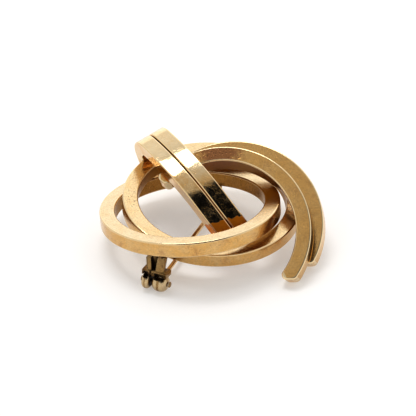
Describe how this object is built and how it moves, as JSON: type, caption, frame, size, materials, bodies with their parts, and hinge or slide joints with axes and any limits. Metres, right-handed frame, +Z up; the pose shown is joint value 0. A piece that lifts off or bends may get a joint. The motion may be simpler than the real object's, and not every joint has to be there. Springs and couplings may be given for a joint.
{
  "type": "knot brooch",
  "caption": "Open knot brooch of crossed square-bar rings, hooked bars and a double strap, with a hinged pin and a catch, lying on its back findings.",
  "frame": {"origin": "on the surface that the brooch lies on, under the middle of its bounding box", "axes": "+Z up from the surface, +Y away from the brooch's front edge, where the pin's hinge is, +X to the right seen from the front"},
  "size_m": [0.0454, 0.0392, 0.0172],
  "materials": {
    "satin_gilt": "gilt, worn to a fine satin",
    "polished_gilt": "gilt, polished",
    "finding_gilt": "gilt, plain"
  },
  "bodies": {
    "brooch": {"ring_upper": "satin_gilt", "ring_lower": "satin_gilt", "arc_inner": "satin_gilt", "arc_outer": "satin_gilt", "band_left": "polished_gilt", "band_right": "polished_gilt", "pin_bracket": "finding_gilt", "hinge_rivet": "finding_gilt", "catch": "finding_gilt"},
    "pin": {"pin_stem": "finding_gilt"}
  },
  "joints": [
    {"name": "pin_hinge", "type": "hinge", "parent": "brooch", "child": "pin", "pos_m": [-0.01045, -0.01763, 0.0018], "axis": [-0.9225, 0.3859, 0], "range_deg": [0, 75]}
  ]
}
